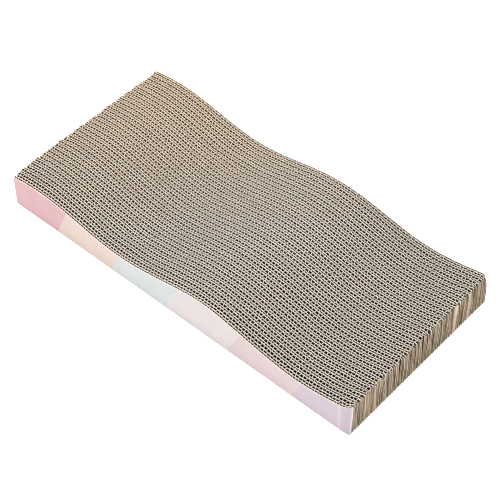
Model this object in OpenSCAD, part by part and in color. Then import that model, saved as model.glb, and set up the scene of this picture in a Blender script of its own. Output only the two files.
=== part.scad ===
// Cat scratcher: strips of double-wall corrugated board stand on edge, are glued face to face,
// and are cut along the top to a wave with two humps and two hollows.
// The origin is at the middle of the base. X runs along the boards, Y from front to back, Z up.
// All sizes are in millimetres.

/* [Block] */
// Length of the boards, from left to right
board_l = 450; // [380:5:500]
// Number of boards, from front to back, in groups of six
board_count = 36; // [12:6:48]

/* [Wave] */
// Height of the humps above the floor
crest_h = 45.4; // [38:0.1:60]
// Height of the hollows above the floor
hollow_h = 29.8; // [20:0.1:36]
// Distance from hump to hump
wave_l = 227.7; // [180:0.1:260]
// Distance of the first hump from the left end
first_crest = 39; // [0:1:90]

/* [Board] */
// Thickness of one liner or of the fluted paper
paper_t = 0.3; // [0.2:0.05:0.4]
// Height of the large flutes in an inner board
flute_h = 3.07; // [2.5:0.01:3.8]
// Height of the large flutes in the front and back boards, which are pressed flatter
cover_flute_h = 2.55; // [2:0.01:3.8]
// Distance from one large flute to the next
flute_pitch = 7.95; // [7:0.01:9]
// Thickness of the small-flute wall of a board, with a liner on both sides
wall_t = 2.6; // [2:0.01:3.2]

/* [Hidden] */
group_n = 6;
group_count = board_count / group_n;
// Straight stretches in one wave of the cut
wave_steps = 16;
// Glue line between two papers
glue_t = 0.02;
// What a cutting shape reaches past the piece that it cuts
past = 1;
// Share of a flute by which each board is shifted against the one before it
flute_shift = 0.618;

board_t = paper_t + flute_h + wall_t;
cover_t = paper_t + cover_flute_h + wall_t;
block_w = (board_count - 2) * board_t + 2 * cover_t;
left = -board_l / 2;
front = -block_w / 2;
mean_h = (crest_h + hollow_h) / 2;
swing = (crest_h - hollow_h) / 2;

function two_digits(i) = str(i < 10 ? "0" : "", i);
function first_board(g) = (g - 1) * group_n + 1;
function board_name(i) = str("board_", two_digits(i));
function flutes_name(g) = str("flutes_", two_digits(first_board(g)), "_", two_digits(g * group_n));

function is_cover(i) = i == 1 || i == board_count;
function flutes_h(i) = is_cover(i) ? cover_flute_h : flute_h;
function board_y(i) = i == 1 ? front : front + cover_t + (i - 2) * board_t;

// The front board is turned round, so that its printed side faces out. The others have their large
// flutes in front and their small-flute wall behind.
function wall_y(i) = i == 1 ? front + paper_t : board_y(i) + paper_t + flutes_h(i);
function flutes_y(i) = i == 1 ? front + wall_t : board_y(i) + paper_t;
function liner_y(i) = i == 1 ? front + wall_t + cover_flute_h : board_y(i) + glue_t;

// A cover's wall is thinner by the printed liner, which is a piece of its own
function inner_wall_t(i) = is_cover(i) ? wall_t - paper_t : wall_t;

function top_z(x) = mean_h + swing * cos(360 * (x - left - first_crest) / wave_l);
function step_x(k) = left + first_crest + k * wave_l / wave_steps;
first_step = ceil((left - step_x(0)) * wave_steps / wave_l + 0.01);
last_step = floor((-left - step_x(0)) * wave_steps / wave_l - 0.01);

// Side view of a board: a straight base and the wave along the top
module side_outline() {
    top = [for (k = [first_step:last_step]) [step_x(k), top_z(step_x(k))]];
    polygon(concat([[-left, 0], [left, 0], [left, top_z(left)]], top, [[-left, top_z(-left)]]));
}

// A flat layer that stands on edge, from y to y + t
module layer(y, t)
    translate([0, y + t, 0])
        rotate([90, 0, 0])
            linear_extrude(t)
                side_outline();

// Fluted paper that stands on edge, with upright flutes that fill the gap from y to y + h
module fluted_paper(y, h, shift) {
    folds = 2 * ceil(board_l / flute_pitch) + 2;
    depth = h - paper_t - 2 * glue_t;
    near = [for (i = [0:folds]) [left + (i / 2 - shift) * flute_pitch, y + glue_t + (i % 2) * depth]];
    far = [for (i = [folds:-1:0]) near[i] + [0, paper_t]];
    intersection() {
        linear_extrude(crest_h + past) polygon(concat(near, far));
        layer(y - past, h + 2 * past);
    }
}

// The small-flute wall of a board, one closed strip
module board(i)
    color("tan") layer(wall_y(i), inner_wall_t(i));

// The large flutes of six boards, each with the liner that they are glued to
module flutes(g)
    color("burlywood")
        for (i = [first_board(g):g * group_n]) {
            layer(liner_y(i), paper_t - glue_t);
            fluted_paper(flutes_y(i), flutes_h(i), (i * flute_shift) % 1);
        }

module printed_liner_front()
    color("pink") layer(front, paper_t);

module printed_liner_back()
    color("pink") layer(-front - paper_t, paper_t);

printed_liner_front();
for (i = [1:board_count])
    board(i);
for (g = [1:group_count])
    flutes(g);
printed_liner_back();
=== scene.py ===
import math

import bpy
import numpy as np
from mathutils import Matrix, Vector


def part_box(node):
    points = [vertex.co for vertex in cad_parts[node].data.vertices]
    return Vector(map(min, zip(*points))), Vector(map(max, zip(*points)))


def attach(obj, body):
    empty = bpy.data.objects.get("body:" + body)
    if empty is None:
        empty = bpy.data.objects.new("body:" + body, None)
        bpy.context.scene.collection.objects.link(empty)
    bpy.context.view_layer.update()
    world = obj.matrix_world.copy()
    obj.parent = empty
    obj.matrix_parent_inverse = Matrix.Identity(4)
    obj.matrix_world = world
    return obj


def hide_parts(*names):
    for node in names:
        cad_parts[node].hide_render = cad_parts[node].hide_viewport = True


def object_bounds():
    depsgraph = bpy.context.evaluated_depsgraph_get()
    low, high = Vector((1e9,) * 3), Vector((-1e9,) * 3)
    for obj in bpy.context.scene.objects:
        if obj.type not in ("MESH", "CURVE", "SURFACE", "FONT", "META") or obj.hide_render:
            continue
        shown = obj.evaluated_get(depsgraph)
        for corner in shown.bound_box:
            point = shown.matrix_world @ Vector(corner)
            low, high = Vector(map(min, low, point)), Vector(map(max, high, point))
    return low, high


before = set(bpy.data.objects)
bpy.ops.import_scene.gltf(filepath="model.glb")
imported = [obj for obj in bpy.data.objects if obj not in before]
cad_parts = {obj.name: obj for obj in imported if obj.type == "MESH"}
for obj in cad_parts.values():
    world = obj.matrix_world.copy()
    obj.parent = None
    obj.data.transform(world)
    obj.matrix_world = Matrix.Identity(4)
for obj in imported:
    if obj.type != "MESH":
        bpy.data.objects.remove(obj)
cad_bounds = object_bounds()

MM = 0.001

# The block, from the frame
LOW = np.array(cad_bounds[0]) / MM
HIGH = np.array(cad_bounds[1]) / MM
LEFT, FRONT, FLOOR = LOW
RIGHT, BACK, CREST_H = HIGH
LENGTH = RIGHT - LEFT
BOARDS = sorted(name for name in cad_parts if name.startswith("board_"))
FLUTE_NODES = sorted(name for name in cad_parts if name.startswith("flutes_"))
GROUP_N = len(BOARDS) // len(FLUTE_NODES)

# The wave of the top cut, as in part.scad
HOLLOW_H = 29.8
WAVE_L = 227.7
FIRST_CREST = 39

# Papers
OUTER_LINER_T = 0.3
MIDDLE_LINER_T = 0.66
# How much of the middle liner, with its glue, lies outside the small-flute wall of part.scad
MIDDLE_LINER_OUT = 0.2
LARGE_FLUTE_T = 0.5
SMALL_FLUTE_T = 0.36
PRINT_T = 0.42

# Random numbers: how many seeds there are to draw from, and the seeds that are given here
SEEDS = 1 << 30
WANDER_SEED, RIGHT_CRUMPLE_SEED, LEFT_CRUMPLE_SEED = 11, 12, 13
STEP_SEED = 31
SMALL_SEED, LARGE_SEED, BOARD_END_SEED = 100, 200, 1000
PRINT_SEEDS = {"printed_liner_front": 301, "printed_liner_back": 302}

# The noise that bends the papers is a sum of waves, each shorter or longer by a factor
NOISE_WAVES = 6
NOISE_FACTORS = (0.6, 1.5)


def ripples(seed, sizes, *places):
    """Smooth seeded noise, mostly between -1 and 1, with waves of about these sizes along the places."""
    draw = np.random.default_rng(seed)
    total = 0.0
    for _ in range(NOISE_WAVES):
        factors = draw.uniform(*NOISE_FACTORS, len(places)) * draw.choice([-1, 1], len(places))
        start = draw.uniform(0, 2 * math.pi)
        turns = sum(factor * (place / size) for factor, place, size in zip(factors, places, sizes))
        total = total + np.sin(2 * math.pi * turns + start)
    return total / math.sqrt(2 * NOISE_WAVES)


def eased(amount):
    """0 below 0, 1 above 1, and smooth between them."""
    amount = np.clip(amount, 0, 1)
    return amount * amount * (3 - 2 * amount)


def by_right(x, length):
    """1 at the right end, falling to 0 over a length."""
    return np.clip((x - RIGHT + length) / length, 0, 1)


def by_left(x, length):
    """1 at the left end, falling to 0 over a length."""
    return np.clip((LEFT + length - x) / length, 0, 1)


def by_front(y, depth):
    """1 at the front, fading away behind it."""
    return np.exp(-(y - FRONT) / depth)


def by_back(y, depth):
    """1 at the back, fading away in front of it."""
    return np.exp(-(BACK - y) / depth)


def wave_h(x):
    """Height of the cut above the floor."""
    turn = 2 * math.pi * (x - LEFT - FIRST_CREST) / WAVE_L
    return (CREST_H + HOLLOW_H) / 2 + (CREST_H - HOLLOW_H) / 2 * np.cos(turn)


# The worn block. Its lines wander, with waves of these sizes along x and y, but less near the outside.
WANDER, WANDER_SIZES, OUTER_DEPTH = 0.36, (70, 45), 8
# The ends are crumpled: how much, over which length, and with waves of which sizes along y, z and x
RIGHT_CRUMPLE, RIGHT_CRUMPLE_L, RIGHT_CRUMPLE_SIZES = 1.3, 9, (14, 50, 14)
LEFT_CRUMPLE, LEFT_CRUMPLE_L, LEFT_CRUMPLE_SIZES = 0.45, 7, (8, 30, 14)
# At the floor the right end is crumpled only by this share
CRUMPLE_AT_FLOOR = 0.4
# The ends lean in at the top, the left one only near the front
RIGHT_LEAN = 0.3
LEFT_LEAN, LEFT_LEAN_DEPTH = 1.2, 20
# The front board curves back at its right end, more at the top, and the cut rises there
CORNER_L, CORNER_DEPTH = 12, 14
CORNER_BACK, CORNER_BACK_MORE = 2.0, 2.2
CORNER_RISE, CORNER_RISE_DEPTH = 2.4, 5
# The top right corner at the back is crushed to the left, forward and down
CRUSH_L, CRUSH_DEPTH = 9, 5
CRUSH_LEFT, CRUSH_FORWARD, CRUSH_DOWN = 1.6, 3.0, 2.0
# The crush grows upwards to this height, which is about that of the cut at the right end
CRUSH_H, CRUSH_POWER = 40.18, 4
# The cut drops away over the last stretch at the right end, but not at the front
RIGHT_DROP, RIGHT_DROP_L, RIGHT_DROP_DEPTH = 1.8, 6, 8
# The cut of the front boards is a little below the wave, and uneven: places, half lengths and rises
FRONT_SAG, FRONT_DEPTH = 1.6, 14
FRONT_DENTS = [(0, 75, -1.7), (264, 30, 1.5), (395, 30, -1.0)]


def front_rise(x):
    """How far the cut lies above the wave along the front."""
    rise = -FRONT_SAG
    for place, half, more in FRONT_DENTS:
        rise = rise + more * np.exp(-((x - LEFT - place) / half) ** 2)
    return rise


def bent(x, y, z):
    """Where a point of the straight block lies in the worn one."""
    height = z / CREST_H
    right = eased(by_right(x, RIGHT_CRUMPLE_L))
    left = eased(by_left(x, LEFT_CRUMPLE_L))
    corner = by_right(x, CORNER_L) ** 2
    crush = by_right(x, CRUSH_L) ** 2 * by_back(y, CRUSH_DEPTH) * (z / CRUSH_H) ** CRUSH_POWER

    crumple = RIGHT_CRUMPLE * (CRUMPLE_AT_FLOOR + (1 - CRUMPLE_AT_FLOOR) * height)
    lines = WANDER * ripples(WANDER_SEED, WANDER_SIZES, x, y)
    lines = lines + crumple * right * ripples(RIGHT_CRUMPLE_SEED, RIGHT_CRUMPLE_SIZES, y, z, x)
    lines = lines + LEFT_CRUMPLE * left * ripples(LEFT_CRUMPLE_SEED, LEFT_CRUMPLE_SIZES, y, z, x)
    inside = eased((y - FRONT) / OUTER_DEPTH) * eased((BACK - y) / OUTER_DEPTH)
    drop = RIGHT_DROP * by_right(x, RIGHT_DROP_L) ** 2 * (1 - by_front(y, RIGHT_DROP_DEPTH))

    dx = LEFT_LEAN * left * height * by_front(y, LEFT_LEAN_DEPTH)
    dx = dx - RIGHT_LEAN * right * height**2 - CRUSH_LEFT * crush
    dy = lines * inside - CRUSH_FORWARD * crush
    dy = dy + (CORNER_BACK + CORNER_BACK_MORE * height) * corner * by_front(y, CORNER_DEPTH)
    dz = front_rise(x) * height * by_front(y, FRONT_DEPTH) - drop * height - CRUSH_DOWN * crush
    dz = dz + CORNER_RISE * corner * height * by_front(y, CORNER_RISE_DEPTH)
    return x + dx, y + dy, z + dz


# How many levels of corners a sheet has within this length of its ends. Elsewhere it has two.
END_LEVELS, END_L = 9, 13
# Its cut is rough, with waves of these sizes along x and y, and lies this far below the wave
ROUGH, ROUGH_SIZES = 0.1, (5, 2)
CUT_BELOW = (0.1, 0.22)
# Over this length its ends are loose, and stand up to this much above the floor
LOOSE_L, LIFT = 10, 0.3
# Where a sheet ends short of the right end, most of what it lacks is made up at the floor
FOOT_SHARE, FOOT_POWER = 0.9, 0.7
# Edges sharper than this many degrees aren't shaded smooth
SHARP_ANGLE = 50


def both_sides(x, y, thickness):
    """The front and back lines of a sheet whose middle runs along x, y."""
    slope = np.gradient(y, x)
    length = np.sqrt(1 + slope**2)
    half = np.array([-0.5, 0.5]) * np.broadcast_to(thickness, len(x))[:, None]
    return x[:, None] - half * (slope / length)[:, None], y[:, None] + half / length[:, None]


class Paper:
    """Collects closed sheets of paper that stand on edge, as one mesh."""

    def __init__(self):
        self.points, self.faces, self.tones, self.depths = [], [], [], []
        self.count = 0

    def add(self, x, y, thickness, tone, seed):
        """Adds a sheet along the line x, y, from the floor to the wave. Its thickness may vary."""
        draw = np.random.default_rng(seed)
        side_x, side_y = both_sides(x, y, thickness)
        rough = ROUGH * ripples(draw.integers(SEEDS), ROUGH_SIZES, x, y) + draw.uniform(*CUT_BELOW)
        right, left = eased(by_right(x, LOOSE_L)), eased(by_left(x, LOOSE_L))
        lift = draw.uniform(0, LIFT) * (right + left)
        full = (wave_h(side_x) - rough[:, None] - lift[:, None])[:, None, :]
        share = np.linspace(0, 1, END_LEVELS)[None, :, None]
        foot = FOOT_SHARE * ((RIGHT - x[-1]) * right)[:, None, None] * (1 - share) ** FOOT_POWER
        px = side_x[:, None, :] + foot
        py = np.repeat(side_y[:, None, :], END_LEVELS, 1)
        pz = lift[:, None, None] + share * full
        points = np.clip(np.stack(bent(px, py, pz), axis=-1), LOW, HIGH)
        near_ends = (x < LEFT + END_L) | (x > RIGHT - END_L)
        self.keep(points, (1 - share) * full, near_ends, tone)

    def keep(self, points, depth, near_ends, tone):
        """Keeps a sheet's corners, which come by place, level and side, and puts faces between them."""
        used = np.repeat(near_ends[:, None], END_LEVELS, 1)
        used[:, [0, -1]] = True
        both = np.repeat(used[:, :, None], 2, 2)
        index = np.cumsum(both).reshape(both.shape) - 1 + self.count
        self.points.append(points[both])
        self.depths.append(depth[both])
        self.count += int(both.sum())

        first = len(self.faces)
        columns = [[index[i, row, side].tolist() for side in (0, 1)] for i, row in enumerate(used)]
        for (front_a, back_a), (front_b, back_b) in zip(columns, columns[1:]):
            self.side(front_a, front_b)
            self.side(back_b, back_a)
            self.faces.append((front_a[-1], front_b[-1], back_b[-1], back_a[-1]))
            self.faces.append((front_a[0], back_a[0], back_b[0], front_b[0]))
        self.side(columns[0][1], columns[0][0])
        self.side(columns[-1][0], columns[-1][1])
        self.tones += [tone] * (len(self.faces) - first)

    def side(self, a, b):
        """Puts faces between two upright rows of corners. Their outside is where a is seen on the left."""
        if len(a) == len(b):
            self.faces += list(zip(a, b, b[1:], a[1:]))
        else:
            self.faces.append([a[0], *b, *a[:0:-1]])

    def piece(self, name, material, slot, *nodes):
        """Makes the collected sheets one piece, which stands for CAD nodes."""
        mesh = bpy.data.meshes.new(name)
        mesh.from_pydata(np.concatenate(self.points) * MM, [], self.faces)
        mesh.shade_smooth()
        mesh.set_sharp_from_angle(angle=math.radians(SHARP_ANGLE))
        tone = mesh.attributes.new("tone", "FLOAT", "FACE")
        tone.data.foreach_set("value", self.tones)
        depth = mesh.attributes.new("depth", "FLOAT", "POINT")
        depth.data.foreach_set("value", np.concatenate(self.depths) * MM)
        mesh.materials.append(material)
        piece = bpy.data.objects.new(name, mesh)
        bpy.context.scene.collection.objects.link(piece)
        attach(piece, "root")
        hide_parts(*nodes)


# Steps from place to place along a flat liner: the first one at each end, the others there, and between
LINER_FIRST, LINER_END_STEP, LINER_STEP = 0.7, 1.5, 3.5
# The shortest step at the end of any sheet
LEAST_STEP = 0.3

# From one flute to the next
LARGE_PITCH, SMALL_PITCH = 7.95, 6.52
# Flutes that are made beyond the length of a board, so that a shift leaves none out
SPARE_FLUTES = 4
# How unevenly the tips follow each other, one by one and in long waves, in shares of the pitch
TIP_JITTER = 0.02
TIP_WANDER, TIP_WANDER_L = 0.03, 90
# How unevenly the paper reaches from liner to liner, as a share
REACH_SPREAD = 0.03
# Share of the thickness that is left at the tips, where the paper is pressed into the liner's glue
TIP_SHARE = 0.42
# Half a flute, from one tip to the next: shares of the way along, of the height and of the thickness
HALF_FLUTE = [(0, 1, TIP_SHARE), (0.42, 0.95, 0.6), (0.5, 0, 1.25), (0.58, -0.95, 0.6)]


def within(x, left, right):
    """Which places lie between a sheet's two ends, and not just beside them."""
    return (x > left + LEAST_STEP) & (x < right - LEAST_STEP)


def liner_line(y, left, right):
    """Places along a flat liner, closer together near its ends."""
    middle = np.arange(LEFT + END_L, RIGHT - END_L, LINER_STEP)
    ends = np.arange(LINER_FIRST, END_L, LINER_END_STEP)
    x = np.unique(np.concatenate([LEFT + ends, middle, RIGHT - ends]))
    x = np.concatenate([[left], x[within(x, left, right)], [right]])
    return x, np.full(len(x), y)


def flute_line(low, high, pitch, shift, left, right, seed):
    """Places along fluted paper that touches y = low and y = high in turn, and its share of thickness."""
    draw = np.random.default_rng(seed)
    tips = 2 * (int(LENGTH / pitch) + SPARE_FLUTES)
    tip_x = LEFT + (np.arange(tips) / 2 - 1 - shift % 1) * pitch
    tip_x = tip_x + draw.normal(0, TIP_JITTER * pitch, tips)
    tip_x = tip_x + TIP_WANDER * pitch * ripples(draw.integers(SEEDS), [TIP_WANDER_L], tip_x)
    along, rise, share = np.array(HALF_FLUTE).T
    number = np.arange(tips - 1)[:, None]
    x = np.interp((number + along).ravel(), np.arange(tips), tip_x)
    reach = (high - low) / 2 * (1 - np.abs(draw.normal(0, REACH_SPREAD, len(x))))
    y = (low + high) / 2 + reach * (np.where(number % 2, -1, 1) * rise).ravel()
    share = np.tile(share, len(number))
    inside = within(x, left, right)
    ends = np.interp([left, right], x, y)
    y = np.concatenate([ends[:1], y[inside], ends[1:]])
    share = np.concatenate([[TIP_SHARE], share[inside], [TIP_SHARE]])
    return np.concatenate([[left], x[inside], [right]]), y, share


def linear(red, green, blue):
    """A colour given in the usual 0 to 255 steps, as Blender's shaders want it."""
    def one(c):
        c /= 255
        return c / 12.92 if c <= 0.04045 else ((c + 0.055) / 1.055) ** 2.4
    return (one(red), one(green), one(blue), 1.0)


# Most of what Blender's noise gives lies between these
NOISE_LOW, NOISE_HIGH = 0.25, 0.75
NOISE_DETAIL = 3.0
SPECULAR = 0.25


class Shader:
    """A short way to build one material's nodes."""

    def __init__(self, name, roughness):
        self.material = bpy.data.materials.new(name)
        self.material.use_nodes = True
        self.tree = self.material.node_tree
        self.tree.nodes.clear()
        output = self.tree.nodes.new("ShaderNodeOutputMaterial")
        self.skin = self.tree.nodes.new("ShaderNodeBsdfPrincipled")
        self.skin.inputs["Roughness"].default_value = roughness
        self.skin.inputs["Specular IOR Level"].default_value = SPECULAR
        self.feed(output.inputs["Surface"], self.skin.outputs[0])

    def feed(self, socket, value):
        """Links a socket to another one, or sets it to a value."""
        if isinstance(value, bpy.types.NodeSocket):
            self.tree.links.new(value, socket)
        else:
            socket.default_value = value

    def place(self):
        return self.tree.nodes.new("ShaderNodeTexCoord").outputs["Object"]

    def axes(self, vector):
        node = self.tree.nodes.new("ShaderNodeSeparateXYZ")
        self.feed(node.inputs[0], vector)
        return node.outputs

    def normal(self):
        return self.axes(self.tree.nodes.new("ShaderNodeNewGeometry").outputs["Normal"])

    def attribute(self, name):
        node = self.tree.nodes.new("ShaderNodeAttribute")
        node.attribute_name = name
        return node.outputs["Fac"]

    def calc(self, kind, a, b=0.0):
        node = self.tree.nodes.new("ShaderNodeMath")
        node.operation = kind
        self.feed(node.inputs[0], a)
        self.feed(node.inputs[1], b)
        return node.outputs[0]

    def plus(self, a, b):
        return self.calc("ADD", a, b)

    def minus(self, a, b):
        return self.calc("SUBTRACT", a, b)

    def times(self, a, b):
        return self.calc("MULTIPLY", a, b)

    def least(self, a, b):
        return self.calc("MINIMUM", a, b)

    def most(self, a, b):
        return self.calc("MAXIMUM", a, b)

    def off(self, place, reach):
        """How far a place lies from reach, which is in millimetres."""
        return self.calc("ABSOLUTE", self.minus(place, reach * MM))

    def beyond(self, place, reach):
        """How far a place lies past reach, which is in millimetres, on either side of the middle."""
        return self.minus(self.calc("ABSOLUTE", place), reach * MM)

    def ramp(self, value, low, high, to_low=0.0, to_high=1.0):
        node = self.tree.nodes.new("ShaderNodeMapRange")
        for socket, amount in zip(node.inputs, (value, low, high, to_low, to_high)):
            self.feed(socket, amount)
        return node.outputs[0]

    def ramp_mm(self, value, low, high, to_low=0.0, to_high=1.0):
        """A ramp whose low and high are places or distances in millimetres."""
        return self.ramp(value, low * MM, high * MM, to_low, to_high)

    def noise(self, grain, stretch=(1, 1, 1)):
        """Noise of about 0 to 1. Grain is its waves in a metre, times the stretch along each axis."""
        move = self.tree.nodes.new("ShaderNodeMapping")
        move.inputs["Scale"].default_value = stretch
        self.feed(move.inputs["Vector"], self.place())
        node = self.tree.nodes.new("ShaderNodeTexNoise")
        self.feed(node.inputs["Vector"], move.outputs[0])
        node.inputs["Scale"].default_value = grain
        node.inputs["Detail"].default_value = NOISE_DETAIL
        return self.ramp(node.outputs["Fac"], NOISE_LOW, NOISE_HIGH)

    def mix(self, share, a, b, kind="MIX"):
        node = self.tree.nodes.new("ShaderNodeMix")
        node.data_type = "RGBA"
        node.blend_type = kind
        self.feed(node.inputs["Factor"], share)
        self.feed(node.inputs["A"], a)
        self.feed(node.inputs["B"], b)
        return node.outputs["Result"]

    def shade(self, colour, by):
        """A colour made darker or lighter by a factor."""
        return self.mix(1.0, colour, by, "MULTIPLY")

    def bump(self, height, distance):
        node = self.tree.nodes.new("ShaderNodeBump")
        node.inputs["Distance"].default_value = distance * MM
        self.feed(node.inputs["Height"], height)
        self.feed(self.skin.inputs["Normal"], node.outputs[0])

    def paint(self, colour):
        self.feed(self.skin.inputs["Base Color"], colour)
        return self.material


# Direction from the back left corner to the front right one, along which painted light and shade change
PAINTED_LIGHT_WAY = (0.67, -0.74)
# The cut edge, with painted warm light at the back left, and where it turns from warm to cool on that way,
# from the middle of the block
CUT_WARM = linear(209, 188, 164)
CUT_COOL = linear(197, 190, 179)
WARM_UNTIL, COOL_FROM = -200, 10
# How far up a face of the cut edge looks, from the first that counts to those that count in full
CUT_UP = (0.55, 0.8)
# Grain and brightness of its fuzz
FUZZ_GRAIN, FUZZ = 900, (0.86, 1.06)

# The sides of the papers, some of them reddish in places
SIDE_LIGHT = linear(211, 198, 179)
SIDE_DARK = linear(169, 152, 129)
SIDE_RED = linear(184, 146, 118)
RED_GRAIN, RED_STRETCH = 70, (1, 1, 0.3)
RED_FROM, RED_MOST = 0.55, 0.38
# How dark a side is adds up from fibres, patches and the sheet's own tone, up to the darkest
FIBRE_GRAIN, FIBRE_STRETCH, FIBRES = 500, (1, 1, 0.35), 0.35
PATCH_GRAIN, PATCHES = 35, 0.3
DARKEST = 1.3
# Painted shade and light on the sides: their brightness at the floor and at the crests
FOOT_SHADE_TO_CREST_LIGHT = (0.9, 1.22)
# Painted shade inside the cells: brightness there at the back left and at the front right, this far from
# the middle
INNER_SHADE, INNER_UNTIL = (0.17, 0.07), 200
# Where the painted shade inside the cells begins and is full, in from the cut or the floor, and in from the
# ends
SHADE_DEPTHS = (0.15, 1.6)
END_SHADE_DEPTHS = (1.2, 4)
KRAFT_BUMP_GRAIN, KRAFT_BUMP = 1600, 0.06


def cut_edge(shader):
    """Share of the cream cut edge: 1 on the faces along the top."""
    return shader.ramp(shader.normal()[2], *CUT_UP)


def from_back_left(shader, start, end, at_start=0.0, at_end=1.0):
    """Goes from one value at the back left to another at the front right, between places along that way,
    for painted light and shade.
    """
    x, y, _ = shader.axes(shader.place())
    along = shader.plus(shader.times(x, PAINTED_LIGHT_WAY[0]), shader.times(y, PAINTED_LIGHT_WAY[1]))
    return shader.ramp_mm(along, start, end, at_start, at_end)


def cut_colour(shader):
    """Freshly cut paper, with painted warm light at the back left of the block."""
    cream = shader.mix(from_back_left(shader, WARM_UNTIL, COOL_FROM), CUT_WARM, CUT_COOL)
    return shader.shade(cream, shader.ramp(shader.noise(FUZZ_GRAIN), 0, 1, *FUZZ))


def painted_cell_shade(shader):
    """Painted shade in the cells: 1 by an opening, and less inside: below the cut, above the floor, and in
    from the ends.
    """
    x, _, z = shader.axes(shader.place())
    inner = from_back_left(shader, -INNER_UNTIL, INNER_UNTIL, *INNER_SHADE)
    ends = shader.least(shader.minus(x, LEFT * MM), shader.minus(RIGHT * MM, x))
    by_ends = shader.ramp_mm(ends, *END_SHADE_DEPTHS, 1, inner)
    cuts = shader.least(shader.attribute("depth"), z)
    by_cuts = shader.ramp_mm(cuts, *SHADE_DEPTHS, 1, inner)
    return shader.most(by_ends, by_cuts)


def kraft_material(name):
    """Unprinted brown paper with fibres, a tone of its own for each sheet, and pale cut edges."""
    shader = Shader(name, roughness=0.85)
    fibres = shader.times(shader.noise(FIBRE_GRAIN, FIBRE_STRETCH), FIBRES)
    patches = shader.times(shader.noise(PATCH_GRAIN), PATCHES)
    darkness = shader.plus(shader.plus(fibres, patches), shader.attribute("tone"))
    sides = shader.mix(shader.ramp(darkness, 0, DARKEST), SIDE_LIGHT, SIDE_DARK)
    reddish = shader.ramp(shader.noise(RED_GRAIN, RED_STRETCH), RED_FROM, 1, 0, RED_MOST)
    sides = shader.mix(reddish, sides, SIDE_RED)
    height = shader.axes(shader.place())[2]
    # Painted shade towards the floor and painted light towards the crests
    sides = shader.shade(sides, shader.ramp_mm(height, 0, CREST_H, *FOOT_SHADE_TO_CREST_LIGHT))
    # Painted shade deep in the cells and in the gaps between the sheets' ends
    sides = shader.shade(sides, painted_cell_shade(shader))
    shader.bump(shader.noise(KRAFT_BUMP_GRAIN), KRAFT_BUMP)
    return shader.paint(shader.mix(cut_edge(shader), sides, cut_colour(shader)))


# How far the colour blocks of the printed paper slant to the right, as a share of the height
PRINT_SLANT = 0.44
# Where each block begins on the floor, in millimetres from the left end, and its colour
PRINT_BLOCKS = [
    (0, (222, 180, 184)),
    (62.5, (229, 208, 197)),
    (139.5, (215, 218, 218)),
    (215.5, (228, 218, 217)),
    (298, (226, 206, 207)),
    (379, (216, 199, 210)),
]
# Grain and brightness of its speckles and its upright streaks
SPECKLE_GRAIN, SPECKLES = 700, (0.975, 1.01)
STREAK_GRAIN, STREAK_STRETCH, STREAKS = 110, (1, 1, 0.12), (0.975, 1.015)
PRINT_BUMP_GRAIN, PRINT_BUMP = 1200, 0.03
PRINT_CUT = linear(222, 208, 190)

# Painted shade greys the print at the bent right end, where it turns away: how far in that begins and is
# full, and how much it is
BEND_DEPTHS, BEND_SHARE = (12, 2), 0.5
BEND_SHADE = linear(224, 222, 234)
# It has a painted highlight along a crease where the bend begins: how far in, its half widths, and how much
CREASE_IN, CREASE_HALF_WIDTHS = 13, (0.6, 1.8)
CREASE_GRAIN, CREASE_STRETCH, CREASE_SHARES = 160, (1, 1, 0.4), (0.2, 0.6)
# Along the cut it is chipped: which of the noise makes chips, how far down they go, and how much
CHIP_GRAIN, CHIP_NOISE = 420, (0.6, 0.75)
CHIP_DEPTHS, CHIP_SHARE = (1, 4.5), 0.55
# At the right edge it is rubbed off
RIM_DEPTHS, RIM_SHARE = (1.6, 0.6), 0.8
# Pale paper for the wear and for the painted highlight along the crease
PALE_WEAR_AND_HIGHLIGHT = linear(242, 232, 226)
# Shares of the block's half width that tell the outside of either printed paper from its inside
OUTSIDE_SHARES = (0.3, 0.5)


def colour_blocks(shader, x, z):
    """The slanted blocks of colour, with speckles and upright streaks."""
    blocks = shader.tree.nodes.new("ShaderNodeValToRGB")
    blocks.color_ramp.interpolation = "CONSTANT"
    stops = blocks.color_ramp.elements
    stops.remove(stops[1])
    for number, (start, colour) in enumerate(PRINT_BLOCKS):
        stop = stops[0] if number == 0 else stops.new(start / LENGTH)
        stop.color = linear(*colour)
    along = shader.minus(x, shader.times(z, PRINT_SLANT))
    shader.feed(blocks.inputs[0], shader.ramp_mm(along, LEFT, RIGHT))
    speckles = shader.ramp(shader.noise(SPECKLE_GRAIN), 0, 1, *SPECKLES)
    streaks = shader.ramp(shader.noise(STREAK_GRAIN, STREAK_STRETCH), 0, 1, *STREAKS)
    return shader.shade(shader.shade(blocks.outputs[0], speckles), streaks)


def print_wear_and_highlight(shader, x):
    """Share of pale paper in the print: a painted highlight along the crease, and bare paper in the chips
    along the cut and at the rubbed right edge.
    """
    crease = shader.ramp_mm(shader.off(x, RIGHT - CREASE_IN), *CREASE_HALF_WIDTHS, 1, 0)
    uneven = shader.ramp(shader.noise(CREASE_GRAIN, CREASE_STRETCH), 0, 1, *CREASE_SHARES)
    chips = shader.ramp(shader.noise(CHIP_GRAIN), *CHIP_NOISE)
    near_cut = shader.ramp_mm(shader.attribute("depth"), *CHIP_DEPTHS, CHIP_SHARE, 0)
    rim = shader.ramp_mm(x, *(RIGHT - depth for depth in RIM_DEPTHS), 0, RIM_SHARE)
    return shader.most(shader.times(chips, near_cut), shader.most(shader.times(crease, uneven), rim))


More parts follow.
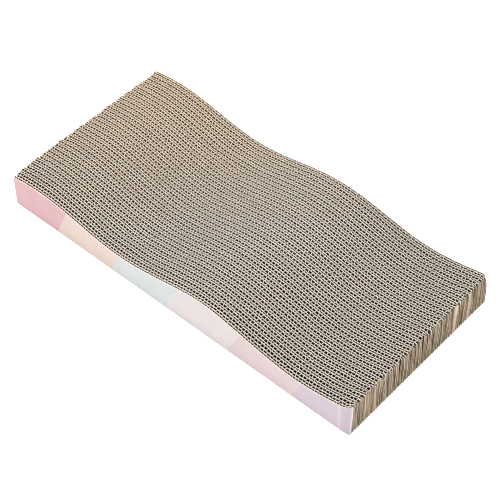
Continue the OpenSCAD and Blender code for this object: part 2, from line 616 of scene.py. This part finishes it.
def printed_material():
    """White-coated paper printed with plain slanted blocks of pastel colour, on its outside only."""
    shader = Shader("printed_paper", roughness=0.6)
    x, y, z = shader.axes(shader.place())
    # Painted shade on the print where its bent right end turns away
    bend = shader.ramp_mm(x, *(RIGHT - depth for depth in BEND_DEPTHS))
    print_and_shade = shader.mix(shader.times(bend, BEND_SHARE), colour_blocks(shader, x, z), BEND_SHADE, "MULTIPLY")
    # A painted highlight along the crease, with bare paper where the print is chipped and rubbed
    print_and_shade = shader.mix(print_wear_and_highlight(shader, x), print_and_shade, PALE_WEAR_AND_HIGHLIGHT)
    outward = shader.times(shader.normal()[1], y)
    outside = shader.ramp_mm(outward, *(share * BACK for share in OUTSIDE_SHARES))
    sides = shader.mix(outside, SIDE_LIGHT, print_and_shade)
    shader.bump(shader.noise(PRINT_BUMP_GRAIN), PRINT_BUMP)
    return shader.paint(shader.mix(cut_edge(shader), sides, PRINT_CUT))


def span(node):
    """The lowest and highest y of a CAD node, in millimetres."""
    low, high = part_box(node)
    return low.y / MM, high.y / MM


WALLS = [span(name) for name in BOARDS]
# The front board is turned round, and ends where the large flutes of the next one begin
FRONT_BOARD_END = WALLS[1][0] - (WALLS[2][0] - WALLS[1][1])

LINER, SMALL_FLUTES, LARGE_FLUTES = "liner", "small flutes", "large flutes"
FLUTES = {SMALL_FLUTES: (SMALL_PITCH, SMALL_FLUTE_T), LARGE_FLUTES: (LARGE_PITCH, LARGE_FLUTE_T)}
# How far each board's flutes lie along from those of the board in front, in shares of the pitch
STEP = {SMALL_FLUTES: 0.0, LARGE_FLUTES: 0.155}
STEP_SPREAD = 0.12
SHIFTS = {
    kind: np.cumsum(step + STEP_SPREAD * np.random.default_rng(STEP_SEED + number).normal(size=len(BOARDS)))
    for number, (kind, step) in enumerate(STEP.items())
}

# Each sheet's tone, from light to dark, and how much darker the fluted papers are than the liners
TONES = (0.15, 0.9)
FLUTE_TONE = 0.25
# How far short of the block's ends a sheet ends: at least, and at most more by its board and by itself
LEFT_SHORT, LEFT_BY_BOARD, LEFT_BY_SHEET = 0.1, 0.9, 0.5
RIGHT_SHORT, RIGHT_BY_BOARD, RIGHT_BY_SHEET = 0.05, 0.5, 3.4
# The higher this is, the fewer sheets end far short of the right end
SHORT_POWER = 2.2


def wall_layers(board):
    """The papers of a board's small-flute wall, each with its span in y."""
    low, high = WALLS[board]
    if board == 0:
        high = high + MIDDLE_LINER_OUT
        middle = high - MIDDLE_LINER_T
        return [(SMALL_FLUTES, FRONT + PRINT_T, middle), (LINER, middle, high)]
    low = low - MIDDLE_LINER_OUT
    middle = low + MIDDLE_LINER_T
    if board == len(BOARDS) - 1:
        return [(LINER, low, middle), (SMALL_FLUTES, middle, BACK - PRINT_T)]
    outer = high - OUTER_LINER_T
    return [(LINER, low, middle), (SMALL_FLUTES, middle, outer), (LINER, outer, high)]


def flute_layers(board):
    """The large flutes of a board and the liner that they are glued to."""
    low, high = WALLS[board]
    if board == 0:
        liner = FRONT_BOARD_END - OUTER_LINER_T
        return [(LARGE_FLUTES, high + MIDDLE_LINER_OUT, liner), (LINER, liner, FRONT_BOARD_END)]
    start = FRONT_BOARD_END if board == 1 else WALLS[board - 1][1]
    flutes = start + OUTER_LINER_T
    return [(LINER, start, flutes), (LARGE_FLUTES, flutes, low - MIDDLE_LINER_OUT)]


def add_layers(paper, layers, board, seed):
    """Adds each layer as one sheet, with ends and a tone of its own."""
    draw = np.random.default_rng(seed)
    by_board = np.random.default_rng(BOARD_END_SEED + board).uniform(0, 1, 2)
    for kind, low, high in layers:
        left = LEFT + LEFT_SHORT + LEFT_BY_BOARD * by_board[0] + draw.uniform(0, LEFT_BY_SHEET)
        right = RIGHT - RIGHT_SHORT - RIGHT_BY_BOARD * by_board[1]
        right = right - RIGHT_BY_SHEET * draw.uniform(0, 1) ** SHORT_POWER
        tone = draw.uniform(*TONES)
        sheet_seed = int(draw.integers(SEEDS))
        if kind == LINER:
            x, y = liner_line((low + high) / 2, left, right)
            paper.add(x, y, high - low, tone, sheet_seed)
        else:
            pitch, thickness = FLUTES[kind]
            half = TIP_SHARE * thickness / 2
            shift = SHIFTS[kind][board]
            x, y, share = flute_line(low + half, high - half, pitch, shift, left, right, sheet_seed)
            paper.add(x, y, thickness * share, tone + FLUTE_TONE, sheet_seed)


def make_boards():
    """Two pieces for each board: its small-flute wall, and its large flutes with their liner."""
    kraft = kraft_material("kraft_board")
    fluted = kraft_material("fluted_paper")
    for board, name in enumerate(BOARDS):
        small = Paper()
        add_layers(small, wall_layers(board), board, SMALL_SEED + board)
        small.piece(name + "_small_flutes", kraft, "kraft_board", name)
        large = Paper()
        add_layers(large, flute_layers(board), board, LARGE_SEED + board)
        large.piece(name + "_large_flutes", fluted, "fluted_paper", FLUTE_NODES[board // GROUP_N])


# The printed papers: how far short of the ends they end, and how many places they have along them
PRINT_LEFT_SHORT, PRINT_RIGHT_SHORT = 1.0, 0.05
PRINT_PLACES = 361
# Between the small flutes they sink in a little, with a pitch that wanders along the paper
SINK, SINK_WANDER_L = 0.03, 60


def make_prints():
    """The printed papers on the front and back boards."""
    printed = printed_material()
    x = np.linspace(LEFT + PRINT_LEFT_SHORT, RIGHT - PRINT_RIGHT_SHORT, PRINT_PLACES)
    for node, seed in PRINT_SEEDS.items():
        outside, inward = (FRONT, 1) if span(node)[0] < 0 else (BACK, -1)
        turn = 2 * math.pi * (x + ripples(seed, [SINK_WANDER_L], x)) / SMALL_PITCH
        y = outside + inward * (PRINT_T / 2 + SINK * (1 - np.cos(turn)))
        sheet = Paper()
        sheet.add(x, y, PRINT_T, 0.0, seed)
        sheet.piece(node.replace("liner", "paper"), printed, "printed_liner", node)


# The floor: half its width in metres, how far it lies below the block in millimetres, and its greys
FLOOR_HALF = 6
FLOOR_BELOW = 0.3
FLOOR_GRAIN, FLOOR_GREYS = 3, (linear(192, 192, 192), linear(198, 198, 198))
# Its own light, which fades to nothing over this distance in under the block's edges
FLOOR_GLOW, GLOW_DEPTH = 0.84, 1.5
WHITE = (1, 1, 1, 1)


def floor_material():
    """A lit white table, which shows no shadow, but is dark under the block."""
    shader = Shader("floor", roughness=0.9)
    x, y, _ = shader.axes(shader.place())
    outside = shader.most(shader.beyond(x, RIGHT), shader.beyond(y, BACK))
    glow = shader.times(shader.ramp_mm(outside, -GLOW_DEPTH, 0), FLOOR_GLOW)
    shader.skin.inputs["Emission Color"].default_value = WHITE
    shader.feed(shader.skin.inputs["Emission Strength"], glow)
    return shader.paint(shader.mix(shader.noise(FLOOR_GRAIN), *FLOOR_GREYS))


def make_floor():
    mesh = bpy.data.meshes.new("floor")
    corners = [(x * FLOOR_HALF, y * FLOOR_HALF, 0) for x, y in ((-1, -1), (1, -1), (1, 1), (-1, 1))]
    mesh.from_pydata(corners, [], [(0, 1, 2, 3)])
    mesh.materials.append(floor_material())
    floor = bpy.data.objects.new("floor", mesh)
    floor.location.z = (FLOOR - FLOOR_BELOW) * MM
    bpy.context.scene.collection.objects.link(floor)


def make_light(name, size, power, place):
    """A square light, in metres and watts, which is aimed at the middle of the block's base."""
    data = bpy.data.lights.new(name, "AREA")
    data.size = size
    data.energy = power
    light = bpy.data.objects.new(name, data)
    light.location = place
    light.rotation_euler = (-Vector(place)).to_track_quat("-Z", "Y").to_euler()
    bpy.context.scene.collection.objects.link(light)


def make_world(strength):
    world = bpy.data.worlds.new("studio")
    world.use_nodes = True
    world.node_tree.nodes["Background"].inputs["Color"].default_value = WHITE
    world.node_tree.nodes["Background"].inputs["Strength"].default_value = strength
    bpy.context.scene.world = world


# The photograph's camera: where it stands, in metres, how it is turned, in degrees, and its lens
CAMERA_PLACE = (0.6869, -0.7640, 1.1575)
CAMERA_AZIMUTH = 41.59
CAMERA_ELEVATION = 48.39
CAMERA_ROLL = -0.185
SENSOR = 36
FOCAL_LENGTH = 108.94


def make_camera():
    data = bpy.data.cameras.new("camera")
    data.sensor_width = SENSOR
    data.lens = FOCAL_LENGTH
    camera = bpy.data.objects.new("camera", data)
    turn = Matrix.Rotation(math.radians(CAMERA_AZIMUTH), 4, "Z")
    tilt = Matrix.Rotation(math.radians(90 - CAMERA_ELEVATION), 4, "X")
    roll = Matrix.Rotation(math.radians(CAMERA_ROLL), 4, "Z")
    camera.matrix_world = Matrix.Translation(CAMERA_PLACE) @ turn @ tilt @ roll
    bpy.context.scene.collection.objects.link(camera)
    bpy.context.scene.camera = camera


make_boards()
make_prints()
make_floor()
make_world(strength=0.22)
make_light("softbox", size=1.2, power=53, place=(-0.65, 0.15, 1.5))
make_light("fill", size=0.5, power=11.2, place=(1.5, 0.05, 0.75))
make_camera()

# Plain colours, and pixels sharp enough to show the cells
bpy.context.scene.view_settings.view_transform = "Standard"
bpy.context.scene.cycles.filter_width = 1.0
bpy.context.scene.cycles.denoising_prefilter = "NONE"
